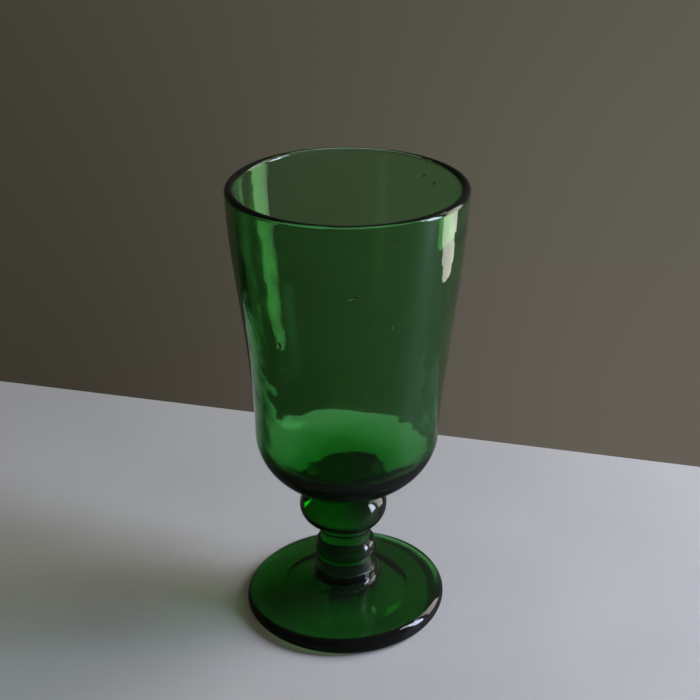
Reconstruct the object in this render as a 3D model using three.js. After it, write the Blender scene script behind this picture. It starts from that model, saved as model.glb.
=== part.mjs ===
// A hand-blown green stemmed glass: a bowl on a flattened knop, a neck with a smaller knop,
// a collar and a round foot. Millimetres, +Z up, with the origin at the middle of the underside.
// Every piece is a gather of hot glass of its own, and meets the next one on a flat round seat.

import * as THREE from "three";

// Foot: a low cone with a round edge, standing on a flat ring round a shallow hollow
const FOOT_RADIUS = 33.5;
const FOOT_EDGE_THICKNESS = 6.1;
const REST_RING_WIDTH = 9.5;
const HOLLOW_DEPTH = 2.4;
const HOLLOW_FLAT_RADIUS = 9.0;
const HUB_HEIGHT = 14.8;
const HUB_SEAT_RADIUS = 9.9;
// The hub is widest a little below its top, and a fillet leads down from there to the cone
const HUB_RING_BULGE = 0.8;
const HUB_RING_DROP = 2.4;
const HUB_FILLET_WIDTH = 4.3;
const HUB_FILLET_HEIGHT = 3.0;

// Pontil scar: what the iron rod left under the foot when it was cracked off
const SCAR_RADIUS = 6.5;
const SCAR_THICKNESS = 0.9;
const SCAR_RIM_WIDTH = 2.2;
const SCAR_RIM_THICKNESS = 1.6;

// Collar: a thin disc of glass between the foot and the stem
const COLLAR_HEIGHT = 3.7;
const COLLAR_BULGE = 0.3;

// Stem: a small knop with a neck above it
const STEM_HEIGHT = 12.9;
const STEM_SEAT_RADIUS = 9.3;
const LOWER_KNOP_BULGE = 1.0;
const LOWER_KNOP_HEIGHT = 6.4;
const GROOVE_DEPTH = 0.5;
const NECK_RADIUS = 8.4;
const NECK_FLARE = 1.6;

// Upper knop: a flattened ball, a little fuller than an ellipse
const UPPER_KNOP_HEIGHT = 13.8;
const UPPER_KNOP_BULGE = 5.3;
const UPPER_KNOP_FULLNESS = 2.2;
const KNOP_SEAT_RADIUS = 9.2;

// Bowl: a round bottom, a wall that opens towards the rim, and a fire-polished lip
const BOWL_HEIGHT = 104.8;
const SHOULDER_HEIGHT = 21.8;
const SHOULDER_RADIUS = 29.8;
const RIM_RADIUS = 37.0;
// The wall thickens evenly from the lip down to the shoulder
const LIP_THICKNESS = 2.9;
const LOWER_WALL_THICKNESS = 3.4;
const BASE_THICKNESS = 9.0;
// The inner floor is fuller than an ellipse, and its middle is raised
const FLOOR_FULLNESS = 2.8;
const FLOOR_RISE = 3.0;
const FLOOR_RISE_RADIUS = 12.0;
// Heights above the shoulder, as shares of the wall, and how far the wall has opened there
const WALL_CURVE = [[0.38, 0.335], [0.723, 0.778]];

const ROUND_SEGMENTS = 40;
const CURVE_STEPS = 4;
const SAME_POINT = 0.001;

// The seats between the pieces, from the foot up
const HUB_TOP = HUB_HEIGHT;
const COLLAR_TOP = HUB_TOP + COLLAR_HEIGHT;
const STEM_TOP = COLLAR_TOP + STEM_HEIGHT;
const UPPER_KNOP_TOP = STEM_TOP + UPPER_KNOP_HEIGHT;
const BOWL_TOP = UPPER_KNOP_TOP + BOWL_HEIGHT;

function greenGlass(roughness = 0.05) {
  return new THREE.MeshStandardMaterial({
    color: 0x0f5a1d,
    roughness,
    metalness: 0,
    transparent: true,
    opacity: 0.6,
  });
}

// Turns a path of radius and height into a closed round piece that stands along Z.
function turned(name, path, material = greenGlass()) {
  const outline = [];
  for (const point of path.getPoints(CURVE_STEPS)) {
    const last = outline[outline.length - 1];
    if (!last || last.distanceTo(point) > SAME_POINT) {
      outline.push(point);
    }
  }
  const geometry = new THREE.LatheGeometry(outline, ROUND_SEGMENTS);
  geometry.rotateX(Math.PI / 2);
  const mesh = new THREE.Mesh(geometry, material);
  mesh.name = name;
  return mesh;
}

// A curve that swells by the bulge from one seat radius and back to the same radius:
// |height / half height| ^ fullness + |radius / widest radius| ^ fullness = 1.
function swelling(path, bottom, top, seatRadius, bulge, fullness) {
  const widestRadius = seatRadius + bulge;
  const middle = (bottom + top) / 2;
  const share = (1 - (seatRadius / widestRadius) ** fullness) ** (1 / fullness);
  const halfHeight = (top - bottom) / 2 / share;
  const steps = 2 * CURVE_STEPS;
  for (let i = 0; i <= steps; i += 1) {
    const height = bottom + ((top - bottom) * (1 - Math.cos((Math.PI * i) / steps))) / 2;
    const rise = Math.abs(height - middle) / halfHeight;
    path.lineTo(widestRadius * (1 - rise ** fullness) ** (1 / fullness), height);
  }
}

function foot() {
  const edge = FOOT_EDGE_THICKNESS / 2;
  const restOuter = FOOT_RADIUS - edge;
  const restInner = restOuter - REST_RING_WIDTH;
  const path = new THREE.Path();
  path.moveTo(0, HOLLOW_DEPTH);
  path.lineTo(HOLLOW_FLAT_RADIUS, HOLLOW_DEPTH);
  const hollowMiddle = (HOLLOW_FLAT_RADIUS + restInner) / 2;
  path.quadraticCurveTo(hollowMiddle, HOLLOW_DEPTH, restInner, 0);
  path.lineTo(restOuter, 0);
  path.absarc(restOuter, edge, edge, -Math.PI / 2, Math.PI / 2, false);
  const ringRadius = HUB_SEAT_RADIUS + HUB_RING_BULGE;
  const ringHeight = HUB_TOP - HUB_RING_DROP;
  const coneRadius = ringRadius + HUB_FILLET_WIDTH;
  const coneTop = ringHeight - HUB_FILLET_HEIGHT;
  path.lineTo(coneRadius, coneTop);
  const steepness = (coneTop - FOOT_EDGE_THICKNESS) / (restOuter - coneRadius);
  path.quadraticCurveTo(ringRadius, coneTop + steepness * HUB_FILLET_WIDTH, ringRadius, ringHeight);
  path.quadraticCurveTo(ringRadius, HUB_TOP, HUB_SEAT_RADIUS, HUB_TOP);
  path.lineTo(0, HUB_TOP);
  return turned("foot", path);
}

function pontilScar() {
  const ceiling = HOLLOW_DEPTH;
  const path = new THREE.Path();
  path.moveTo(0, ceiling - SCAR_THICKNESS);
  path.lineTo(SCAR_RADIUS - SCAR_RIM_WIDTH, ceiling - SCAR_THICKNESS);
  path.lineTo(SCAR_RADIUS - SCAR_RIM_WIDTH / 2, ceiling - SCAR_RIM_THICKNESS);
  path.lineTo(SCAR_RADIUS, ceiling);
  path.lineTo(0, ceiling);
  return turned("pontil_scar", path, greenGlass(0.5));
}

function collar() {
  const middleRadius = (HUB_SEAT_RADIUS + STEM_SEAT_RADIUS) / 2;
  const middleHeight = (HUB_TOP + COLLAR_TOP) / 2;
  const path = new THREE.Path();
  path.moveTo(0, HUB_TOP);
  path.lineTo(HUB_SEAT_RADIUS, HUB_TOP);
  path.quadraticCurveTo(middleRadius + COLLAR_BULGE, middleHeight, STEM_SEAT_RADIUS, COLLAR_TOP);
  path.lineTo(0, COLLAR_TOP);
  return turned("collar", path);
}

function stem() {
  const grooveHeight = COLLAR_TOP + LOWER_KNOP_HEIGHT;
  const neckMiddle = (grooveHeight + STEM_TOP) / 2;
  const path = new THREE.Path();
  path.moveTo(0, COLLAR_TOP);
  path.lineTo(STEM_SEAT_RADIUS, COLLAR_TOP);
  swelling(path, COLLAR_TOP, grooveHeight, STEM_SEAT_RADIUS, LOWER_KNOP_BULGE, 2);
  path.lineTo(STEM_SEAT_RADIUS - GROOVE_DEPTH, grooveHeight);
  path.quadraticCurveTo(NECK_RADIUS, grooveHeight, NECK_RADIUS, neckMiddle);
  path.quadraticCurveTo(NECK_RADIUS, STEM_TOP - NECK_FLARE, KNOP_SEAT_RADIUS, STEM_TOP);
  path.lineTo(0, STEM_TOP);
  return turned("stem", path);
}

function upperKnop() {
  const path = new THREE.Path();
  path.moveTo(0, STEM_TOP);
  swelling(
    path, STEM_TOP, UPPER_KNOP_TOP, KNOP_SEAT_RADIUS, UPPER_KNOP_BULGE, UPPER_KNOP_FULLNESS,
  );
  path.lineTo(0, UPPER_KNOP_TOP);
  return turned("upper_knop", path);
}

// The bowl's inner floor, from the shoulder to the axis:
// |radius / width| ^ fullness + |depth / drop| ^ fullness = 1, plus a bell curve of height FLOOR_RISE.
function innerFloor(path, shoulder, width, drop) {
  const steps = 3 * CURVE_STEPS;
  for (let i = 1; i < steps; i += 1) {
    const turn = (Math.PI * i) / 2 / steps;
    const radius = width * Math.cos(turn) ** (2 / FLOOR_FULLNESS);
    const depth = drop * Math.sin(turn) ** (2 / FLOOR_FULLNESS);
    const rise = FLOOR_RISE * Math.exp(-((radius / FLOOR_RISE_RADIUS) ** 2));
    path.lineTo(radius, shoulder - depth + rise);
  }
  path.lineTo(0, shoulder - drop + FLOOR_RISE);
}

function bowl() {
  const bottom = UPPER_KNOP_TOP;
  const shoulder = bottom + SHOULDER_HEIGHT;
  const lip = LIP_THICKNESS / 2;
  const wallTop = BOWL_TOP - lip;
  const seatAngle = Math.acos(KNOP_SEAT_RADIUS / SHOULDER_RADIUS);
  const bottomDrop = SHOULDER_HEIGHT / Math.sin(seatAngle);
  const innerDrop = SHOULDER_HEIGHT - BASE_THICKNESS;
  const innerShoulder = SHOULDER_RADIUS - LOWER_WALL_THICKNESS;
  const opening = RIM_RADIUS - SHOULDER_RADIUS;
  const outerWall = WALL_CURVE.map(([rise, share]) => new THREE.Vector2(
    SHOULDER_RADIUS + opening * share,
    shoulder + (wallTop - shoulder) * rise,
  ));
  const thickening = (LOWER_WALL_THICKNESS - LIP_THICKNESS) / (wallTop - shoulder);
  const innerWall = outerWall.map((point) => new THREE.Vector2(
    point.x - LIP_THICKNESS - thickening * (wallTop - point.y),
    point.y,
  ));
  const path = new THREE.Path();
  path.moveTo(0, bottom);
  path.lineTo(KNOP_SEAT_RADIUS, bottom);
  path.absellipse(0, shoulder, SHOULDER_RADIUS, bottomDrop, -seatAngle, 0, false);
  path.splineThru([...outerWall, new THREE.Vector2(RIM_RADIUS, wallTop)]);
  path.absarc(RIM_RADIUS - lip, wallTop, lip, 0, Math.PI, false);
  path.splineThru([...innerWall.reverse(), new THREE.Vector2(innerShoulder, shoulder)]);
  innerFloor(path, shoulder, innerShoulder, innerDrop);
  return turned("bowl", path);
}

const stemmedGlass = new THREE.Group();
stemmedGlass.add(foot(), pontilScar(), collar(), stem(), upperKnop(), bowl());

export default stemmedGlass;
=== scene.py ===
"""Looks for a hand-blown green stemmed glass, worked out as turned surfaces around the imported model.

Every piece is a profile of radius and height carried round the axis with numpy. One field of small
shifts, the same for all pieces, gives the lean and unevenness of hand work, so the joints stay shut.
"""

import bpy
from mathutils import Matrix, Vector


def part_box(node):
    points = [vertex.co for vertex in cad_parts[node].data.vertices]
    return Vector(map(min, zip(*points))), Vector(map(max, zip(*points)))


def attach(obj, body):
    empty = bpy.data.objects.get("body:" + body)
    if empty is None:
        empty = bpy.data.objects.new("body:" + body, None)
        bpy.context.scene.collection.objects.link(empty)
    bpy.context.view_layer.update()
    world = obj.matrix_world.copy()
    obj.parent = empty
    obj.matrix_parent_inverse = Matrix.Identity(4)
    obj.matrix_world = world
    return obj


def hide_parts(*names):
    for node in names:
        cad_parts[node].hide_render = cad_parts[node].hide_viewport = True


bl_info = {
    "name": "Hand-blown stemmed glass",
    "version": (1, 0, 0),
    "blender": (4, 5, 0),
    "location": "View3D > Sidebar > Stemmed glass",
    "description": "Builds the glass pieces, their materials and a table beside a window",
    "category": "Object",
}

import math

import bpy
import numpy as np
from mathutils import Matrix, Vector

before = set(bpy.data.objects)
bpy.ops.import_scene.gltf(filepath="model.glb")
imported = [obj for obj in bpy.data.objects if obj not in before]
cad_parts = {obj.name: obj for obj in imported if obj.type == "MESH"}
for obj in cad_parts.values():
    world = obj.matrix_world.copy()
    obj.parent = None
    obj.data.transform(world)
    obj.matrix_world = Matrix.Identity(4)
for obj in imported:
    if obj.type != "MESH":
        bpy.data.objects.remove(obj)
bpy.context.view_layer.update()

MM = 0.001
BODY = "root"

# Heights of the seats between the pieces, and the widest radius of the foot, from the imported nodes
HUB_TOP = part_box("collar")[0].z
COLLAR_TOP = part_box("stem")[0].z
STEM_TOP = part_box("upper_knop")[0].z
KNOP_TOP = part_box("bowl")[0].z
RIM_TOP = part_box("bowl")[1].z
FOOT_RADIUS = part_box("foot")[1].x

# Air left between two fused pieces, far too thin to see
SEAM_AIR = 0.005 * MM

# Points of a profile that lie closer than this are one point, and heights this close are level.
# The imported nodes' heights are rounded, so they get a wider margin.
SAME_POINT = 0.002 * MM
LEVEL = 0.001 * MM
PACKED_LEVEL = 0.01 * MM


# Shapes of the profile


def seat_radius(node, height):
    """The largest distance from the axis of the node's points that lie at that height."""
    points = np.array([v.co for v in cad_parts[node].data.vertices])
    level = points[np.abs(points[:, 2] - height) < PACKED_LEVEL]
    return float(np.hypot(level[:, 0], level[:, 1]).max())


def arc(centre, size, start, end, steps):
    """Points centre + size * (cos angle, sin angle), from the start to the end angle in degrees."""
    angle = np.radians(np.linspace(start, end, steps))
    return np.stack([centre[0] + size[0] * np.cos(angle), centre[1] + size[1] * np.sin(angle)], 1)


def bend(start, corner, end, steps):
    """A curve from start to end whose two ends both aim at the corner: (1-t)^2 S + 2t(1-t) C + t^2 E."""
    t = np.linspace(0, 1, steps)[:, None]
    return (1 - t) ** 2 * np.array(start) + 2 * t * (1 - t) * np.array(corner) + t**2 * np.array(end)


def line(start, end, steps):
    """Evenly spaced points of a straight line: (1-t) S + t E."""
    t = np.linspace(0, 1, steps)[:, None]
    return (1 - t) * np.array(start) + t * np.array(end)


def swelling(bottom, top, seat, widest, fullness, steps):
    """|height / half height| ^ fullness + |radius / widest| ^ fullness = 1, cut at the seat radius."""
    share = (1 - (seat / widest) ** fullness) ** (1 / fullness)
    half = (top - bottom) / 2 / share
    height = bottom + (top - bottom) * (1 - np.cos(np.linspace(0, math.pi, steps))) / 2
    rise = np.abs(height - (bottom + top) / 2) / half
    return np.stack([widest * (1 - rise**fullness) ** (1 / fullness), height], 1)


def through(points, steps):
    """The cubic of radius over height that passes through four points."""
    points = np.array(points)
    low, high = points[0, 1], points[-1, 1]
    share = (points[:, 1] - low) / (high - low)
    cubic = np.polyfit(share, points[:, 0], 3)
    t = np.linspace(0, 1, steps)
    return np.stack([np.polyval(cubic, t), low + (high - low) * t], 1)


def fuller(centre, size, fullness, steps):
    """A quarter of |r / width| ^ fullness + |z / depth| ^ fullness = 1, from its side down to the
    axis. The rounding puts the last point right on the axis."""
    t = np.linspace(0, math.pi / 2, steps)
    share = np.stack([np.cos(t), -np.sin(t)], 1)
    return np.array(centre) + np.array(size) * np.sign(share) * np.abs(share).round(9) ** (2 / fullness)


def outline(*stretches):
    """Joins stretches into one profile and drops a point that repeats the one before it."""
    points = np.concatenate(stretches)
    step = np.linalg.norm(np.diff(points, axis=0), axis=1)
    return points[np.concatenate([[True], step > SAME_POINT])]


# The unevenness of hand work

# Fields of waves in the glass: wave length, number of waves, seed, and the stretch of x, y and z.
# A stretch below 1 draws the waves out in that direction.
RIM_WAVES = (60 * MM, 6, 5, (1, 1, 0))
STEM_WAVES = (16 * MM, 9, 11)
OUTER_WAVES = (14 * MM, 24, 21, (0.6, 0.6, 1.4))
INNER_WAVES = (17 * MM, 24, 22, (0.6, 0.6, 1.2))
LOW_WAVES = (8 * MM, 24, 23)
FINE_WAVES = (5.5 * MM, 40, 25)
CORD_WAVES = (7 * MM, 30, 24, (0.35, 0.35, 1))
HUB_WAVES = (6 * MM, 16, 61, (0.5, 0.5, 1.5))
SCAR_WAVES = (2.2 * MM, 20, 41)
# The shortest and the longest wave of a field, as shares of its wave length
WAVE_SPREAD = (0.7, 1.4)

# How far up and down the upper knop's shift reaches, and the middle and reach of the bowl's bow
SHIFT_REACH = 6 * MM
BOW_HEIGHT = 95 * MM
BOW_REACH = 35 * MM
# Heights between which the foot's wedge ends, and shares of the height between which the rim's shape
# begins
WEDGE_END = (5 * MM, 11 * MM)
RIM_START = (0.55, 1.0)
# Twice the angle round the axis at which the rim's long side points, in radians
OVAL_TURN = 0.7
# Heights between which the stem's slack begins and ends, and the radii between which it begins
SLACK_START = (7 * MM, 12 * MM)
SLACK_END = (KNOP_TOP - 4 * MM, KNOP_TOP)
SLACK_CORE = (2 * MM, 7 * MM)


def waves(points, length, count, seed, stretch=(1, 1, 1)):
    """A smooth random field, mostly between -1 and 1: the sum of count sine waves of about that length,
    in random directions and phases, over the root of count. The points are stretched first."""
    rng = np.random.default_rng(seed)
    direction = rng.normal(size=(count, 3))
    direction /= np.linalg.norm(direction, axis=1, keepdims=True)
    pace = 2 * math.pi / (length * rng.uniform(*WAVE_SPREAD, count))
    phase = rng.uniform(0, 2 * math.pi, count)
    along = (points * np.array(stretch)) @ direction.T
    return np.sin(along * pace + phase).sum(1) / math.sqrt(count)


def fade(value, start, end):
    """0 before start and 1 after end, with a smooth turn between: 3t^2 - 2t^3."""
    t = np.clip((value - start) / (end - start), 0, 1)
    return t * t * (3 - 2 * t)


def hump(value, centre, width):
    """A bell curve of height 1: e ^ -((value - centre) / width)^2."""
    return np.exp(-(((value - centre) / width) ** 2))


def uneven(points, hand):
    """Moves points as the maker's hand did. The axis leans and wanders aside with height: x + wander.
    The foot is thicker on one side, and the rim dips: z * (1 + thick) + dip. The rim is oval and the
    stem's surfaces are slack: radius + oval + slack."""
    x, y, z = points.T
    height = z / RIM_TOP
    wander = hand.lean * (2 * height - 1)
    wander = wander - hand.knop_shift * hump(z, (STEM_TOP + KNOP_TOP) / 2, SHIFT_REACH)
    wander = wander + hand.bowl_bow * hump(z, BOW_HEIGHT, BOW_REACH)
    thick = hand.foot_wedge * (x / FOOT_RADIUS) * (1 - fade(z, *WEDGE_END))
    top = fade(height, *RIM_START)
    dip = -hand.rim_tilt * x * top + hand.rim_wave * top * waves(points, *RIM_WAVES)
    oval = hand.rim_oval * top * np.cos(2 * np.arctan2(y, x) - OVAL_TURN)
    radius = np.hypot(x, y)
    slack = hand.stem_slack * waves(points, *STEM_WAVES) * fade(z, *SLACK_START)
    slack = slack * (1 - fade(z, *SLACK_END)) * fade(radius, *SLACK_CORE)
    swell = 1 + (oval + slack) / np.maximum(radius, MM)
    return np.stack([x * swell + wander, y * swell, z * (1 + thick) + dip], 1)


# Meshes


def ring_faces(rings, around):
    """The faces of a closed stack of rings whose two end points follow the rings: the quads between
    the rings, and a fan of triangles at either end."""
    row = np.arange(rings - 1)[:, None] * around
    here = np.arange(around)[None]
    after = (here + 1) % around
    quads = np.stack([row + here, row + after, row + around + after, row + around + here], 2)
    low, high = rings * around, rings * around + 1
    last = (rings - 1) * around
    first_fan = np.stack([np.full(around, low), after[0], here[0]], 1)
    last_fan = np.stack([np.full(around, high), last + here[0], last + after[0]], 1)
    return quads.reshape(-1, 4), first_fan, last_fan


def bubbles(centres, axes, sizes, rings=7, around=12):
    """Closed hollows, whose faces look inwards: each is a ball, centre + size_k * ball_k * axis_k
    summed over its three axes. Gives the points, the quads and the triangles."""
    up = np.linspace(0, math.pi, rings + 2)[1:-1, None]
    turn = np.linspace(0, 2 * math.pi, around, endpoint=False)
    level = np.repeat(-np.cos(up), around, 1)
    ball = np.stack([np.sin(up) * np.cos(turn), np.sin(up) * np.sin(turn), level], 2).reshape(-1, 3)
    ball = np.concatenate([ball, [[0, 0, -1], [0, 0, 1]]])
    points = centres[:, None] + np.einsum("pk,nk,nkx->npx", ball, sizes, axes)
    first = (np.arange(len(centres)) * len(ball))[:, None, None]
    quads, *fans = (faces[None, :, ::-1] + first for faces in ring_faces(rings, around))
    return points.reshape(-1, 3), quads.reshape(-1, 4), np.concatenate(fans, 1).reshape(-1, 3)


def seat_stretches(profile, seats):
    """Which stretches of the profile lie flat in one of the seats, given as radius and height."""
    stretches = []
    for radius, height in seats:
        level = (np.abs(profile[:, 1] - height) < LEVEL) & (profile[:, 0] < radius + LEVEL)
        stretches += np.flatnonzero(level[:-1] & level[1:]).tolist()
    return stretches


def revolved(name, profile, around, hand, seats, ripple=None, hollows=None):
    """A closed turned piece: vertex = (radius cos a, radius sin a, height), with one vertex at each
    end where the profile meets the axis. The ripple moves each vertex along the surface's normal,
    before the whole is made uneven. Faces in the seats are seam faces, where the piece is fused to
    the next one. Hollows are the bubbles in its glass."""
    angle = np.linspace(0, 2 * math.pi, around, endpoint=False)
    inner = profile[1:-1]
    ring = np.stack(
        [
            inner[:, :1] * np.cos(angle),
            inner[:, :1] * np.sin(angle),
            np.repeat(inner[:, 1:], around, 1),
        ],
        2,
    )
    points = ring.reshape(-1, 3)
    if ripple is not None:
        slope = np.gradient(inner, axis=0)
        slope /= np.linalg.norm(slope, axis=1, keepdims=True)
        out, up = np.repeat(slope[:, 1], around), np.repeat(-slope[:, 0], around)
        turn = np.tile(angle, len(inner))
        normal = np.stack([out * np.cos(turn), out * np.sin(turn), up], 1)
        points = points + normal * ripple(points, np.repeat(np.arange(len(inner)), around))[:, None]
    ends = np.array([[0, 0, profile[0, 1]], [0, 0, profile[-1, 1]]])
    points = np.concatenate([points, ends])
    faces = [face for group in ring_faces(len(inner), around) for face in group.tolist()]
    stretch = np.concatenate([np.repeat(np.arange(1, len(inner)), around), np.zeros(around, int)])
    stretch = np.concatenate([stretch, np.full(around, len(profile) - 2)])
    seam = np.isin(stretch, seat_stretches(profile, seats))
    if hollows is not None:
        inside, quads, fans = hollows
        faces += (quads + len(points)).tolist() + (fans + len(points)).tolist()
        points = np.concatenate([points, inside])
        seam = np.concatenate([seam, np.zeros(len(quads) + len(fans), bool)])
    mesh = bpy.data.meshes.new(name)
    mesh.from_pydata(uneven(points, hand), [], faces)
    # The materials read which faces are seams, and those faces are shaded flat
    mesh.attributes.new("seam", "FLOAT", "FACE").data.foreach_set("value", seam.astype(np.float32))
    mesh.attributes.new("sharp_face", "BOOLEAN", "FACE").data.foreach_set("value", seam)
    mesh.validate()
    piece = bpy.data.objects.new(name, mesh)
    bpy.context.scene.collection.objects.link(piece)
    return piece


def place(piece, node, material):
    """Puts the piece on its body in the frame, in place of its CAD node, with its material."""
    piece.data.materials.append(material)
    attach(piece, BODY)
    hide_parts(node)


# Materials

# How strongly glass bends light. In a fused joint light goes straight on, as in one solid.
GLASS_IOR = 1.5
JOINT_IOR = 1.0
# Fire-polished glass swells and dips slowly: length and height of its swells
SKIN_SWELL = 11.1 * MM
SKIN_HEIGHT = 0.4 * MM
# Broken glass is grainy: size and height of its grain, coarser than the real one so that it shows
BROKEN_GRAIN = 1.1 * MM
BROKEN_HEIGHT = 0.3 * MM
BROKEN_ROUGHNESS = 0.35
# Sprayed lacquer is mottled: size of its clouds, size and height of its grain, coarser than the real
# one so that it shows, how much the grain counts beside the clouds, and its darkest and palest tone
LACQUER_CLOUD = 55.6 * MM
LACQUER_GRAIN = 1.4 * MM
LACQUER_HEIGHT = 0.2 * MM
LACQUER_GRAIN_SHARE = 0.5
LACQUER_TONES = (0.96, 1.04)


def linear(colour):
    """An sRGB hex string as linear red, green and blue: c / 12.92 below 0.04045, else
    ((c + 0.055) / 1.055) ^ 2.4."""
    parts = [int(colour[i : i + 2], 16) / 255 for i in (0, 2, 4)]
    return [c / 12.92 if c <= 0.04045 else ((c + 0.055) / 1.055) ** 2.4 for c in parts]


def add(tree, kind, settings=None, **inputs):
    """Adds a node of that kind, sets its properties, and sets or links its inputs. An input goes by
    its name or, where two share a name, by its number after an underscore."""
    node = tree.nodes.new("ShaderNode" + kind)
    for key, value in (settings or {}).items():
        setattr(node, key, value)
    for key, value in inputs.items():
        socket = node.inputs[int(key[1:])] if key[1:].isdigit() else node.inputs[key.replace("_", " ")]
        if isinstance(value, bpy.types.NodeSocket):
            tree.links.new(value, socket)
        else:
            socket.default_value = value
    return node


def new_material(name):
    """A material without nodes yet, and its node tree."""
    material = bpy.data.materials.new(name)
    material.use_nodes = True
    material.node_tree.nodes.clear()
    return material, material.node_tree


def soda_lime_glass(colours, name, depth):
    """Green soda-lime glass, blown and worked hot. Its own colour is in its depth, so thin walls are
    pale and thick parts nearly black. Its fire-polished skin is clear and glossy, with a thin film of
    dust and hard water that scatters a little of the light."""
    material, tree = new_material(name)
    seam = add(tree, "Attribute", {"attribute_name": "seam"})
    bending = add(tree, "MapRange", _0=seam.outputs["Fac"], _3=GLASS_IOR, _4=JOINT_IOR)
    place_at = add(tree, "TexCoord").outputs["Object"]
    fine = add(tree, "TexNoise", Vector=place_at, Scale=1 / SKIN_SWELL, Detail=3.0, Roughness=0.5)
    skin = add(tree, "Bump", Strength=0.12, Distance=SKIN_HEIGHT, Height=fine.outputs["Fac"])
    surface = add(
        tree,
        "BsdfPrincipled",
        Base_Color=(1, 1, 1, 1),
        Roughness=0.0,
        Transmission_Weight=1 - colours.haze,
        IOR=bending.outputs[0],
        Normal=skin.outputs[0],
    )
    colour = add(tree, "VolumeAbsorption", Color=(*linear(colours.glass), 1), Density=depth)
    add(tree, "OutputMaterial", Surface=surface.outputs[0], Volume=colour.outputs[0])
    return material, surface, seam


def seeded_glass(colours, name, depth, share):
    """The same glass for a solid part of the stem. Where it was welded to its neighbours the joint
    holds fine bubbles, which scatter that share of the light and fill the part with a green glow."""
    material, surface, seam = soda_lime_glass(colours, name, depth)
    clear = add(
        material.node_tree, "MapRange", _0=seam.outputs["Fac"], _3=1 - colours.haze, _4=1 - share
    )
    material.node_tree.links.new(clear.outputs[0], surface.inputs["Transmission Weight"])
    return material


def broken_glass(colours):
    """The same glass where it was cracked off the rod: a dull, grainy shell fracture."""
    material, tree = new_material("soda_lime_glass_broken")
    seam = add(tree, "Attribute", {"attribute_name": "seam"})
    bending = add(tree, "MapRange", _0=seam.outputs["Fac"], _3=GLASS_IOR, _4=JOINT_IOR)
    dull = add(tree, "MapRange", _0=seam.outputs["Fac"], _3=BROKEN_ROUGHNESS, _4=0.0)
    place_at = add(tree, "TexCoord").outputs["Object"]
    grain = add(tree, "TexNoise", Vector=place_at, Scale=1 / BROKEN_GRAIN, Detail=4.0)
    rough = add(tree, "Bump", Strength=0.6, Distance=BROKEN_HEIGHT, Height=grain.outputs["Fac"])
    surface = add(
        tree,
        "BsdfPrincipled",
        Base_Color=(1, 1, 1, 1),
        Roughness=dull.outputs[0],
        Transmission_Weight=1.0,
        IOR=bending.outputs[0],
        Normal=rough.outputs[0],
    )
    depth = add(
        tree, "VolumeAbsorption", Color=(*linear(colours.glass), 1), Density=colours.depth
    )
    add(tree, "OutputMaterial", Surface=surface.outputs[0], Volume=depth.outputs[0])
    return material


def table_paint(colours, name, mirrored):
    """Matt white lacquer on a table top, with faint mottling, lit by the window beside it. In mirror
    images its colour is darkened by painted shade: mirrored gives from the nodes the share of its
    colour that is left."""
    material, tree = new_material(name)
    place_at = add(tree, "TexCoord").outputs["Object"]
    cloud = add(tree, "TexNoise", Vector=place_at, Scale=1 / LACQUER_CLOUD, Detail=2.0)
    speck = add(tree, "TexNoise", Vector=place_at, Scale=1 / LACQUER_GRAIN, Detail=2.0)
    both = add(
        tree, "Math", {"operation": "MULTIPLY_ADD"}, _0=speck.outputs["Fac"],
        _1=LACQUER_GRAIN_SHARE, _2=cloud.outputs["Fac"],
    )
    dark, pale = LACQUER_TONES
    tone = add(tree, "MapRange", _0=both.outputs[0], _1=0.5, _2=1.0, _3=dark, _4=pale)
    shade = add(tree, "Math", {"operation": "MULTIPLY"}, _0=tone.outputs[0], _1=mirrored(tree))
    colour = add(
        tree, "VectorMath", {"operation": "SCALE"}, _0=linear(colours.table), Scale=shade.outputs[0]
    )
    relief = add(tree, "Bump", Strength=0.15, Distance=LACQUER_HEIGHT, Height=speck.outputs["Fac"])
    surface = add(
        tree,
        "BsdfPrincipled",
        Base_Color=colour.outputs[0],
        Roughness=0.6,
        Normal=relief.outputs[0],
    )
    add(tree, "OutputMaterial", Surface=surface.outputs[0])
    return material


# Settings that a user would change


def length(name, description, default):
    """A size, kept in metres."""
    return bpy.props.FloatProperty(
        name=name, description=description, default=default, unit="LENGTH", precision=5
    )


def number(name, description, default):
    """A plain number."""
    return bpy.props.FloatProperty(name=name, description=description, default=default, precision=4)


def hex_colour(name, description, default):
    """A colour in sRGB hex."""
    return bpy.props.StringProperty(name=name, description=description, default=default)


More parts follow.
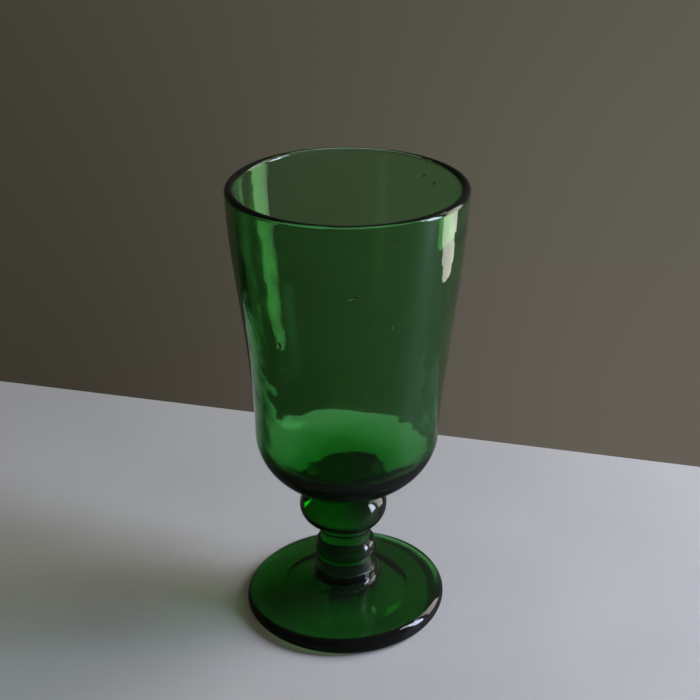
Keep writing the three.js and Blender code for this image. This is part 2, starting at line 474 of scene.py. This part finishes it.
class HandWork(bpy.types.PropertyGroup):
    """What the maker's hand did to an even glass"""

    lean: length("Lean", "How far the axis leans aside at the rim and, the other way, at the foot", 1.1 * MM)
    knop_shift: length("Knop shift", "How far the upper knop sits off the axis", 0.9 * MM)
    bowl_bow: length("Bowl bow", "How far the middle of the bowl bulges aside", 0.55 * MM)
    foot_wedge: number("Foot wedge", "Share by which the foot is thicker at one side", 0.19)
    rim_tilt: number("Rim tilt", "Fall of the rim over its width, as a slope", 0.0095)
    rim_wave: length("Rim wave", "How much the rim goes up and down", 0.15 * MM)
    rim_oval: length("Rim oval", "How far the rim is from round", 0.12 * MM)
    stem_slack: length("Stem slack", "How uneven the stem's surfaces are", 0.08 * MM)
    hub_folds: length("Hub folds", "Depth of the folds where the stem was pressed on the foot", 0.22 * MM)
    outer_ripple: length("Outer ripple", "Height of the waves in the bowl's outside", 0.03 * MM)
    inner_ripple: length("Inner ripple", "Height of the waves in the bowl's inside", 0.03 * MM)
    low_ripple: length("Low ripple", "Height of the finer waves low in the bowl's inside", 0.05 * MM)
    fine_ripple: length("Fine ripple", "Height of the finest waves in the bowl's inside", 0.009 * MM)
    cords: length("Cords", "Height of the waves that run round the bowl", 0.014 * MM)
    scar_jags: length("Scar jags", "Height of the jags in the pontil scar", 0.18 * MM)
    seeds: bpy.props.IntProperty(name="Seeds", description="Small bubbles in the wall", default=18)
    around: bpy.props.IntProperty(
        name="Faces round", description="Faces round each piece, apart from the scar", default=288
    )


class PieceSizes(bpy.types.PropertyGroup):
    """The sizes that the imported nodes' boxes and seats don't give"""

    foot_edge: length("Foot edge", "Thickness of the foot's round edge", 6.1 * MM)
    rest_ring: length("Resting ring", "Width of the flat ring that the foot stands on", 9.5 * MM)
    hollow_flat: length("Hollow flat", "Radius of the hollow's flat middle", 9.0 * MM)
    hub_bulge: length("Hub bulge", "How far the hub stands out past its seat", 0.8 * MM)
    hub_drop: length("Hub drop", "How far below its top the hub is widest", 2.4 * MM)
    fillet_width: length("Fillet width", "Width of the turn from the foot to its hub", 4.3 * MM)
    fillet_height: length("Fillet height", "Height of the turn from the foot to its hub", 3.0 * MM)
    collar_bulge: length("Collar bulge", "How far the collar's side stands out", 0.1 * MM)
    lower_knop_height: length("Lower knop height", "Height of the small knop on the stem", 6.4 * MM)
    groove: length("Groove", "Radius of the groove above the small knop", 8.8 * MM)
    neck: length("Neck", "Radius of the neck", 8.4 * MM)
    neck_flare: length("Neck flare", "Height of the neck's turn to the upper knop", 1.6 * MM)
    knop_fullness: number("Knop fullness", "Power of the upper knop's curve", 2.2)
    shoulder_height: length("Shoulder height", "Height of the bowl's round bottom", 21.8 * MM)
    shoulder: length("Shoulder", "Outer radius where the bowl's wall starts", 29.8 * MM)
    lip: length("Lip", "Thickness of the fire-polished lip", 2.9 * MM)
    wall: length("Wall", "Thickness of the bowl's wall where it leaves the round bottom", 3.4 * MM)
    base: length("Base", "Thickness of the bowl's bottom", 9.0 * MM)
    floor_fullness: number("Floor fullness", "Power of the curve of the bowl's inner floor", 2.8)
    floor_rise: length("Floor rise", "Height of the raised middle of the inner floor", 3.0 * MM)
    floor_rise_width: length("Floor rise width", "Radius of the raised middle of the inner floor", 12.0 * MM)


class GlassColours(bpy.types.PropertyGroup):
    """The colours of the glass and of the stage, and how strong the glass's own is"""

    glass: hex_colour("Glass", "Colour that the glass lets through, in sRGB hex", "00dc49")
    depth: number("Depth", "How strongly the glass absorbs, for each metre", 300.0)
    pale_depth: number("Pale depth", "The same for the paler gather of the upper knop", 210.0)
    deep_depth: number("Deep depth", "The same for the darker gather of the stem and collar", 400.0)
    haze: number("Haze", "Share of the light that the film on the glass scatters", 0.006)
    bubbles: number("Bubbles", "Share of the light that the upper knop's joints scatter", 0.8)
    few_bubbles: number(
        "Few bubbles", "Share of the light that the stem's and collar's joints scatter", 0.14
    )
    table: hex_colour("Table", "Colour of the table top, in sRGB hex", "bcbcbf")
    # The wall's four colours hold painted window light: lighter near the window, darker away from it
    wall_left: hex_colour("Wall, left", "Colour of the wall away from the window", "413f33")
    wall_right: hex_colour("Wall, right", "Colour of the wall near the window", "5d5b4f")
    wall_low_left: hex_colour("Wall, low left", "Colour of the wall's foot away from the window", "3a362d")
    wall_low_right: hex_colour("Wall, low right", "Colour of the wall's foot near the window", "645f56")


def settings():
    """The three groups of settings, as the scene keeps them."""
    scene = bpy.context.scene
    return scene.stem_hand, scene.stem_sizes, scene.stem_colours


# Pieces

# Shares of the height of the bowl's wall, and how far the wall has opened there
WALL_CURVE = ((0.38, 0.335), (0.723, 0.778))

# Heights between which the ripples in the bowl begin and end, and between which the low ones end
RIPPLE_START = (KNOP_TOP + 2 * MM, KNOP_TOP + 12 * MM)
RIPPLE_END = (RIM_TOP - 9 * MM, RIM_TOP - 2 * MM)
LOW_RIPPLE_END = (70 * MM, 88 * MM)

# Large bubbles in the wall: angle round the axis and height above the table of the middle, half
# length, half width in mm, and slant from the level in degrees
WALL_FLAWS = (
    (-88, 127.4, 1.2, 0.8, 20),
    (-129, 108.5, 1.2, 0.8, 80),
    (-68, 116.4, 1.4, 0.3, 88),
    (-69, 94.0, 0.5, 0.4, 0),
    (-70, 144.2, 2.8, 0.35, 22),
    (-69, 142.6, 2.0, 0.3, 18),
    (47, 143.6, 1.9, 0.35, -20),
    (39, 142.3, 1.7, 0.35, -25),
    (117, 145.0, 0.4, 0.3, 0),
)
# The small seeds, in the same units: the least and the most of their height, half length, half
# width and slant, and the seed of their random draw
SEED_RANGES = ((72, 141), (0.12, 0.4), (0.06, 0.14), (60, 120))
SEED_DRAW = 51
# How deep in the wall the bubbles' middles lie, and the most that they reach out from there
BUBBLE_DEPTH = 1.2 * MM
BUBBLE_REACH = 0.6 * MM

# The folds on the hub: how far their middle lies below its widest ring, how far they reach up and
# down, and how far below the seat they fade out
FOLDS_DROP = 1 * MM
FOLDS_REACH = 2.5 * MM
FOLDS_FADE = 1 * MM

# The small knop's lower half is fuller than its upper one: this power of a smooth turn
LOWER_HALF_POWER = 0.6

# The scar's raised rim, as distances inwards from its edge: where its outer side aims, where that
# meets the crest, where the inner slope aims, and where that meets the flat middle
SCAR_RIM = (0.2 * MM, 1.1 * MM, 1.6 * MM, 2.2 * MM)
# How far above the crest the flat middle lies, how far above it the jags start to fade out, and how
# many faces the scar has round
SCAR_SINK = 0.7 * MM
SCAR_FADE = 0.5 * MM
SCAR_AROUND = 120


def green_glass(colours):
    """The glass that most pieces share, made at its first use."""
    name = "soda_lime_glass_green"
    return bpy.data.materials.get(name) or soda_lime_glass(colours, name, colours.depth)[0]


def jointed_glass(colours):
    """The glass of the stem and its collar, made at its first use."""
    name = "soda_lime_glass_jointed"
    kept = bpy.data.materials.get(name)
    return kept or seeded_glass(colours, name, colours.deep_depth, colours.few_bubbles)


class MakeBowl(bpy.types.Operator):
    """Blown cup with a thick base, rippled walls and a fire-polished lip"""

    bl_idname = "stemmed_glass.bowl"
    bl_label = "Make the bowl"

    def execute(self, context):
        hand, sizes, colours = settings()
        seat = seat_radius("bowl", KNOP_TOP)
        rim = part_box("bowl")[1].x
        bottom = KNOP_TOP + SEAM_AIR
        shoulder = KNOP_TOP + sizes.shoulder_height
        lip = sizes.lip / 2
        wall_top = RIM_TOP - lip
        start = math.degrees(math.acos(seat / sizes.shoulder))
        drop = sizes.shoulder_height / math.sin(math.radians(start))
        opening, rise = rim - sizes.shoulder, wall_top - shoulder
        wall = [(sizes.shoulder + opening * out, shoulder + rise * up) for up, out in WALL_CURVE]
        wall = [(sizes.shoulder, shoulder), *wall, (rim, wall_top)]
        outer_wall = through(wall, steps=100)
        inner_wall = through(wall, steps=90)[::-1]
        depth = (wall_top - inner_wall[:, 1]) / rise
        inner_wall[:, 0] -= sizes.lip + (sizes.wall - sizes.lip) * depth
        floor_size = (sizes.shoulder - sizes.wall, sizes.shoulder_height - sizes.base)
        floor = fuller((0, shoulder), floor_size, sizes.floor_fullness, steps=60)
        floor[:, 1] += sizes.floor_rise * hump(floor[:, 0], 0, sizes.floor_rise_width)
        profile = outline(
            line((0, bottom), (seat, bottom), steps=4),
            arc((0, shoulder), (sizes.shoulder, drop), -start, 0, steps=60),
            outer_wall,
            arc((rim - lip, wall_top), (lip, lip), 0, 180, steps=24),
            inner_wall,
            floor,
        )
        lip_row = int(np.argmax(profile[:, 1]))

        def ripple(points, rows):
            z = points[:, 2]
            fades = fade(z, *RIPPLE_START)
            fades = fades * (1 - fade(z, *RIPPLE_END))
            outer_waves = hand.outer_ripple * waves(points, *OUTER_WAVES)
            inner_waves = hand.inner_ripple * waves(points, *INNER_WAVES)
            low = 1 - fade(z, *LOW_RIPPLE_END)
            inner_waves = inner_waves + hand.low_ripple * low * waves(points, *LOW_WAVES)
            inner_waves = inner_waves + hand.fine_ripple * waves(points, *FINE_WAVES)
            cords = hand.cords * waves(points, *CORD_WAVES)
            return fades * (np.where(rows < lip_row, outer_waves, inner_waves) + cords)

        hollows = bubbles(*self.flaws(outer_wall, hand.seeds))
        piece = revolved("blown_bowl", profile, hand.around, hand, [(seat, bottom)], ripple, hollows)
        place(piece, "bowl", green_glass(colours))
        return {"FINISHED"}

    def flaws(self, outer_wall, count):
        """The centres, axes and half sizes of the bubbles in the wall: the large ones of WALL_FLAWS,
        and many small seeds, drawn out along the wall and a little aslant."""
        rng = np.random.default_rng(SEED_DRAW)
        seeds = [rng.uniform(low, high, count) for low, high in ((-180, 180), *SEED_RANGES)]
        angle, height, long, wide, slant = np.concatenate([np.array(WALL_FLAWS).T, seeds], axis=1)
        height, long, wide = height * MM, long * MM, wide * MM
        turn, slant = np.radians(angle), np.radians(slant)
        zero, one = np.zeros_like(turn), np.ones_like(turn)
        out = np.stack([np.cos(turn), np.sin(turn), zero], 1)
        aside = np.stack([-np.sin(turn), np.cos(turn), zero], 1)
        upright = np.stack([zero, zero, one], 1)
        along = np.cos(slant)[:, None] * aside + np.sin(slant)[:, None] * upright
        across = np.sin(slant)[:, None] * aside - np.cos(slant)[:, None] * upright
        radius = np.interp(height, outer_wall[:, 1], outer_wall[:, 0]) - BUBBLE_DEPTH
        centres = out * radius[:, None] + upright * height[:, None]
        sizes = np.stack([long, wide, np.minimum(wide, BUBBLE_REACH)], 1)
        return centres, np.stack([along, across, out], 1), sizes


class MakeUpperKnop(bpy.types.Operator):
    """Flattened ball of solid glass under the bowl"""

    bl_idname = "stemmed_glass.upper_knop"
    bl_label = "Make the upper knop"

    def execute(self, context):
        hand, sizes, colours = settings()
        seat = seat_radius("upper_knop", STEM_TOP)
        low, high = STEM_TOP + SEAM_AIR, KNOP_TOP - SEAM_AIR
        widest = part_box("upper_knop")[1].x
        profile = outline(
            line((0, low), (seat, low), steps=4),
            swelling(low, high, seat, widest, sizes.knop_fullness, steps=90),
            line((seat, high), (0, high), steps=4),
        )
        piece = revolved("ball_knop", profile, hand.around, hand, [(seat, low), (seat, high)])
        glass = seeded_glass(colours, "soda_lime_glass_pale", colours.pale_depth, colours.bubbles)
        place(piece, "upper_knop", glass)
        return {"FINISHED"}


class MakeStem(bpy.types.Operator):
    """Short neck with a small tooled knop"""

    bl_idname = "stemmed_glass.stem"
    bl_label = "Make the stem"

    def execute(self, context):
        hand, sizes, colours = settings()
        low_seat = seat_radius("stem", COLLAR_TOP)
        high_seat = seat_radius("stem", STEM_TOP)
        low, high = COLLAR_TOP + SEAM_AIR, STEM_TOP - SEAM_AIR
        groove = COLLAR_TOP + sizes.lower_knop_height
        middle = (sizes.neck, (groove + STEM_TOP) / 2)
        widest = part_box("stem")[1].x
        knop = swelling(low, groove, low_seat, widest, fullness=2, steps=50)
        belly = (low + groove) / 2
        below = low_seat + (widest - low_seat) * fade(knop[:, 1], low, belly) ** LOWER_HALF_POWER
        knop[:, 0] = np.where(knop[:, 1] < belly, below, knop[:, 0])
        profile = outline(
            line((0, low), (low_seat, low), steps=4),
            knop,
            bend((sizes.groove, groove), (sizes.neck, groove), middle, steps=24),
            bend(middle, (sizes.neck, STEM_TOP - sizes.neck_flare), (high_seat, high), steps=24),
            line((high_seat, high), (0, high), steps=4),
        )
        seats = [(low_seat, low), (high_seat, high)]
        piece = revolved("necked_stem", profile, hand.around, hand, seats)
        place(piece, "stem", jointed_glass(colours))
        return {"FINISHED"}


class MakeCollar(bpy.types.Operator):
    """Thin ring of glass that joins the stem to the foot"""

    bl_idname = "stemmed_glass.collar"
    bl_label = "Make the collar"

    def execute(self, context):
        hand, sizes, colours = settings()
        low_seat = seat_radius("collar", HUB_TOP)
        high_seat = seat_radius("collar", COLLAR_TOP)
        low, high = HUB_TOP + SEAM_AIR, COLLAR_TOP - SEAM_AIR
        turn = (high_seat + sizes.collar_bulge, (low + high) / 2)
        profile = outline(
            line((0, low), (low_seat, low), steps=4),
            bend((low_seat, low), turn, (high_seat, high), steps=40),
            line((high_seat, high), (0, high), steps=4),
        )
        seats = [(low_seat, low), (high_seat, high)]
        piece = revolved("stem_collar", profile, hand.around, hand, seats)
        place(piece, "collar", jointed_glass(colours))
        return {"FINISHED"}


class MakeFoot(bpy.types.Operator):
    """Thick round foot with a low cone, a hub and a hollow underneath"""

    bl_idname = "stemmed_glass.foot"
    bl_label = "Make the foot"

    def execute(self, context):
        hand, sizes, colours = settings()
        seat = seat_radius("foot", HUB_TOP)
        top = HUB_TOP - SEAM_AIR
        edge = sizes.foot_edge / 2
        rest_outer = FOOT_RADIUS - edge
        rest_inner = rest_outer - sizes.rest_ring
        scar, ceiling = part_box("pontil_scar")[1].x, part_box("pontil_scar")[1].z
        ring = (seat + sizes.hub_bulge, HUB_TOP - sizes.hub_drop)
        cone_top = (ring[0] + sizes.fillet_width, ring[1] - sizes.fillet_height)
        steepness = (cone_top[1] - 2 * edge) / (rest_outer - cone_top[0])
        fillet_corner = (ring[0], cone_top[1] + steepness * sizes.fillet_width)
        middle = ((sizes.hollow_flat + rest_inner) / 2, ceiling)
        profile = outline(
            line((0, ceiling), (scar, ceiling), steps=8),
            line((scar, ceiling), (sizes.hollow_flat, ceiling), steps=4),
            bend((sizes.hollow_flat, ceiling), middle, (rest_inner, 0), steps=30),
            line((rest_inner, 0), (rest_outer, 0), steps=16),
            arc((rest_outer, edge), (edge, edge), -90, 90, steps=60),
            line((rest_outer, 2 * edge), cone_top, steps=50),
            bend(cone_top, fillet_corner, ring, steps=30),
            bend(ring, (ring[0], top), (seat, top), steps=20),
            line((seat, top), (0, top), steps=6),
        )

        def ripple(points, rows):
            z = points[:, 2]
            near_hub = hump(z, ring[1] - FOLDS_DROP, FOLDS_REACH) * fade(top - z, 0, FOLDS_FADE)
            return hand.hub_folds * near_hub * waves(points, *HUB_WAVES)

        seats = [(seat, top), (scar, ceiling)]
        piece = revolved("pressed_foot", profile, hand.around, hand, seats, ripple)
        place(piece, "foot", green_glass(colours))
        return {"FINISHED"}


class MakeScar(bpy.types.Operator):
    """Rough scar where the iron rod was cracked off under the foot"""

    bl_idname = "stemmed_glass.pontil_scar"
    bl_label = "Make the pontil scar"

    def execute(self, context):
        hand, _, colours = settings()
        low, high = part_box("pontil_scar")
        radius, crest = high.x, low.z
        ceiling = high.z - SEAM_AIR
        middle = crest + SCAR_SINK
        side, crest_end, aim, middle_end = (radius - inwards for inwards in SCAR_RIM)
        profile = outline(
            line((0, middle), (middle_end, middle), steps=14),
            bend((middle_end, middle), (aim, crest), (crest_end, crest), steps=12),
            bend((crest_end, crest), (side, crest), (radius, ceiling), steps=14),
            line((radius, ceiling), (0, ceiling), steps=4),
        )

        def ripple(points, rows):
            fades = 1 - fade(points[:, 2], crest + SCAR_FADE, ceiling)
            return hand.scar_jags * fades * waves(points, *SCAR_WAVES)

        piece = revolved("pontil_mark", profile, SCAR_AROUND, hand, [(radius, ceiling)], ripple)
        place(piece, "pontil_scar", broken_glass(colours))
        return {"FINISHED"}


# Stage

# The back edge of the table, as two points on the ground, and how far the table and the floor
# round it reach: left, right and front
EDGE_LEFT = Vector((-156.7, 166.9)) * MM
EDGE_RIGHT = Vector((141.3, 84.0)) * MM
TABLE_REACH = (-175 * MM, 165 * MM, -62 * MM)
FLOOR_REACH = (-900 * MM, 400 * MM, -900 * MM)
TABLE_THICKNESS = 18 * MM
# Air under the foot, which stands on a few high spots of its ring
STANDING_AIR = 0.04 * MM
# Places on y between which the table, in mirror images, turns from a painted shade to its own
# colour, and the share of that colour that is left where the painted shade is
PAINTED_SHADE_TO_FULL = (60 * MM, 130 * MM)
PAINTED_SHADE_SHARE = 0.1

# The wall, by direction of sight: x where its left and right colours are reached, z where its high
# and low colours are, z where its painted shade starts upwards and it is half as bright, and y where
# its painted shade starts backwards in mirror images and it is darkest. Its lighter right side is
# painted window light.
WALL_SIDES = (-0.25, 0.25)
WALL_HIGH_LOW = (-0.2, -0.45)
WALL_TOP = (-0.15, 0.3)
WALL_BEHIND = (0.4, -0.2)
TOP_PAINTED_SHADE = 0.5
BEHIND_PAINTED_SHADE = 0.35
ROOM_COLOUR = "fffdd3"
ROOM_LIGHT = 0.08

# Camera: place, aim and angle of view in degrees, which match the outline of the glass in the
# photograph, and the width of its sensor in mm
CAMERA_BACK = 400 * MM
CAMERA_HEIGHT = 288.9 * MM
CAMERA_PITCH = 25.905
CAMERA_YAW = 0.197
CAMERA_ROLL = -0.573
CAMERA_VIEW_ANGLE = 28.0
CAMERA_SENSOR = 36

# Lamps, in mm. The window's panes, as front and back y, low and high z, colour, brightness, and
# whether they are also seen through the glass, not only mirrored by it
WINDOW_X = 500
FACING_LEFT = (90, 0, 90)
PANES = (
    ("pane_front", -140, -15, 20, 650, "dde6ff", 17.0, False),
    ("pane_back", 60, 300, -105, 650, "fffaf0", 4.0, True),
    ("pane_back_low", 60, 300, -160, -105, "fffaf0", 4.0, False),
)
# Soft lights that nothing mirrors, as width and height, middle, turn in degrees, colour, brightness
SOFT_LIGHTS = (
    ("window_glow", (400, 350), (WINDOW_X, 120, 525), FACING_LEFT, "ffffff", 5.2),
    ("front_light", (1000, 600), (100, -700, 550), (55, 0, 0), "fff2d8", 0.47),
)


class MakeStage(bpy.types.Operator):
    """Table beside a window, the wall beyond it, and the camera"""

    bl_idname = "stemmed_glass.stage"
    bl_label = "Make the stage"

    def execute(self, context):
        colours = context.scene.stem_colours
        self.table(colours)
        self.room(colours)
        self.lights()
        self.camera()
        # Clear glass passes light on sharp and whole to what lies behind it
        context.scene.cycles.blur_glossy = 0.0
        context.scene.view_settings.view_transform = "Standard"
        return {"FINISHED"}

    def slab(self, name, reach, top, material):
        """A slab whose back edge runs through the two edge points."""
        left, right, front = reach
        slope = (EDGE_RIGHT.y - EDGE_LEFT.y) / (EDGE_RIGHT.x - EDGE_LEFT.x)
        back_left = EDGE_LEFT.y + slope * (left - EDGE_LEFT.x)
        back_right = EDGE_LEFT.y + slope * (right - EDGE_LEFT.x)
        corners = [(left, front), (right, front), (right, back_right), (left, back_left)]
        points = [(x, y, z) for z in (top - TABLE_THICKNESS, top) for x, y in corners]
        sides = [(i, (i + 1) % 4, 4 + (i + 1) % 4, 4 + i) for i in range(4)]
        mesh = bpy.data.meshes.new(name)
        mesh.from_pydata(points, [], [(3, 2, 1, 0), (4, 5, 6, 7), *sides])
        mesh.materials.append(material)
        slab = bpy.data.objects.new(name, mesh)
        bpy.context.scene.collection.objects.link(slab)

    def table(self, colours):
        """The table top, and round it the same surface, which painted shade turns black in mirror images."""

        # Painted shade: in mirror images the table's front is darkened
        def painted_front_shade(tree):
            place_at = add(tree, "TexCoord").outputs["Object"]
            y = add(tree, "SeparateXYZ", Vector=place_at).outputs["Y"]
            start, end = PAINTED_SHADE_TO_FULL
            back = add(tree, "MapRange", _0=y, _1=start, _2=end, _3=PAINTED_SHADE_SHARE, _4=1.0).outputs[0]
            mirror = add(tree, "LightPath").outputs["Glossy Depth"]
            return add(tree, "Mix", _0=mirror, _2=1.0, _3=back).outputs[0]

        # Painted shade: the floor round the table is black in mirror images
        def painted_black_in_mirrors(tree):
            mirror = add(tree, "LightPath").outputs["Glossy Depth"]
            return add(tree, "Math", {"operation": "LESS_THAN"}, _0=mirror, _1=0.5).outputs[0]

        top = table_paint(colours, "matt_lacquer_table", painted_front_shade)
        floor = table_paint(colours, "matt_lacquer_floor", painted_black_in_mirrors)
        self.slab("table_top", TABLE_REACH, -STANDING_AIR, top)
        self.slab("floor_round_table", FLOOR_REACH, -2 * STANDING_AIR, floor)

    def room(self, colours):
        """Sight, reflection and refraction meet the wall. Its colour holds painted light: painted window
        light makes it lighter to the right, and painted shade makes it darker to the left and above, and
        dark for mirror images of what is behind the camera. Matt surfaces, also through the glass, get an
        even, soft room light."""
        world = bpy.data.worlds.new("room")
        bpy.context.scene.world = world
        world.use_nodes = True
        tree = world.node_tree
        tree.nodes.clear()
        direction = add(tree, "TexCoord").outputs["Generated"]
        axes = add(tree, "SeparateXYZ", Vector=direction)
        x, y, z = (axes.outputs[i] for i in range(3))
        left, right = WALL_SIDES
        high, low = WALL_HIGH_LOW
        top_start, top_end = WALL_TOP
        behind_start, behind_end = WALL_BEHIND
        smooth = {"interpolation_type": "SMOOTHSTEP"}
        even_share = add(tree, "MapRange", _0=x, _1=left, _2=right)
        steep_share = add(tree, "MapRange", smooth, _0=x, _1=left, _2=right)
        low_share = add(tree, "MapRange", _0=z, _1=high, _2=low)
        corners = [(*linear(c), 1) for c in (colours.wall_left, colours.wall_right)]
        corners += [(*linear(c), 1) for c in (colours.wall_low_left, colours.wall_low_right)]
        colour = {"data_type": "RGBA"}
        high_wall = add(tree, "Mix", colour, _0=even_share.outputs[0], _6=corners[0], _7=corners[1])
        low_wall = add(tree, "Mix", colour, _0=steep_share.outputs[0], _6=corners[2], _7=corners[3])
        wall = add(
            tree, "Mix", colour, _0=low_share.outputs[0], _6=high_wall.outputs[2],
            _7=low_wall.outputs[2],
        )
        # Painted shade: the wall darkens upwards, and backwards in mirror images
        above = add(tree, "MapRange", _0=z, _1=top_start, _2=top_end, _3=1.0, _4=TOP_PAINTED_SHADE)
        behind = add(tree, "MapRange", _0=y, _1=behind_start, _2=behind_end, _3=1.0, _4=BEHIND_PAINTED_SHADE)
        path = add(tree, "LightPath").outputs
        mirrored = add(tree, "Math", {"operation": "MINIMUM"}, _0=path["Glossy Depth"], _1=1.0)
        shade = add(tree, "Mix", _0=mirrored.outputs[0], _2=1.0, _3=behind.outputs[0])
        strength = add(
            tree, "Math", {"operation": "MULTIPLY"}, _0=above.outputs[0], _1=shade.outputs[0]
        )
        seen = add(tree, "Background", Color=wall.outputs[2], Strength=strength.outputs[0])
        soft = add(tree, "Background", Color=(*linear(ROOM_COLOUR), 1), Strength=ROOM_LIGHT)
        matt = add(tree, "Math", {"operation": "MINIMUM"}, _0=path["Diffuse Depth"], _1=1.0)
        both = add(tree, "MixShader", _0=matt.outputs[0], _1=seen.outputs[0], _2=soft.outputs[0])
        add(tree, "OutputWorld", Surface=both.outputs[0])

    def lamp(self, name, size, centre, turn, colour, brightness):
        """A flat rectangular light of the given size and radiance, which isn't seen itself."""
        data = bpy.data.lights.new(name, "AREA")
        data.shape = "RECTANGLE"
        data.size, data.size_y = size[0] * MM, size[1] * MM
        data.color = linear(colour)
        data.energy = brightness * math.pi * data.size * data.size_y
        lamp = bpy.data.objects.new(name, data)
        lamp.location = Vector(centre) * MM
        lamp.rotation_euler = [math.radians(a) for a in turn]
        lamp.visible_camera = False
        bpy.context.scene.collection.objects.link(lamp)
        return lamp

    def lights(self):
        """Window panes that face the glass from the right, and the soft lights."""
        for name, front, back, low, high, colour, brightness, through in PANES:
            centre = (WINDOW_X, (front + back) / 2, (low + high) / 2)
            pane = self.lamp(name, (back - front, high - low), centre, FACING_LEFT, colour, brightness)
            pane.visible_transmission = through
        for row in SOFT_LIGHTS:
            self.lamp(*row).visible_glossy = False

    def camera(self):
        """Looks along +Y and down, with its up axis turned a little by the roll."""
        pitch, yaw, roll = (math.radians(a) for a in (CAMERA_PITCH, CAMERA_YAW, CAMERA_ROLL))
        ahead = Vector(
            (math.sin(yaw) * math.cos(pitch), math.cos(yaw) * math.cos(pitch), -math.sin(pitch))
        )
        level = Vector((math.cos(yaw), -math.sin(yaw), 0))
        upright = level.cross(ahead)
        right = math.cos(roll) * level + math.sin(roll) * upright
        up = math.cos(roll) * upright - math.sin(roll) * level
        data = bpy.data.cameras.new("camera")
        data.sensor_width = CAMERA_SENSOR
        data.lens = CAMERA_SENSOR / 2 / math.tan(math.radians(CAMERA_VIEW_ANGLE / 2))
        data.clip_start = 10 * MM
        data.clip_end = 100
        camera = bpy.data.objects.new("camera", data)
        turn = Matrix((right, up, -ahead)).transposed().to_4x4()
        camera.matrix_world = Matrix.Translation((0, -CAMERA_BACK, CAMERA_HEIGHT)) @ turn
        bpy.context.scene.collection.objects.link(camera)
        bpy.context.scene.camera = camera


class StemmedGlassPanel(bpy.types.Panel):
    """Buttons that make the pieces, and their settings"""

    bl_idname = "VIEW3D_PT_stemmed_glass"
    bl_label = "Stemmed glass"
    bl_space_type = "VIEW_3D"
    bl_region_type = "UI"
    bl_category = "Stemmed glass"

    def draw(self, context):
        for operator in OPERATORS:
            self.layout.operator(operator.bl_idname)
        for group in settings():
            for name in group.__annotations__:
                self.layout.prop(group, name)


GROUPS = (HandWork, PieceSizes, GlassColours)
OPERATORS = (MakeFoot, MakeScar, MakeCollar, MakeStem, MakeUpperKnop, MakeBowl, MakeStage)
CLASSES = (*GROUPS, *OPERATORS, StemmedGlassPanel)


def register():
    for cls in CLASSES:
        bpy.utils.register_class(cls)
    bpy.types.Scene.stem_hand = bpy.props.PointerProperty(type=HandWork)
    bpy.types.Scene.stem_sizes = bpy.props.PointerProperty(type=PieceSizes)
    bpy.types.Scene.stem_colours = bpy.props.PointerProperty(type=GlassColours)


def unregister():
    del bpy.types.Scene.stem_colours
    del bpy.types.Scene.stem_sizes
    del bpy.types.Scene.stem_hand
    for cls in reversed(CLASSES):
        bpy.utils.unregister_class(cls)


def main():
    register()
    make = bpy.ops.stemmed_glass
    make.foot()
    make.pontil_scar()
    make.collar()
    make.stem()
    make.upper_knop()
    make.bowl()
    make.stage()


if __name__ == "__main__":
    main()
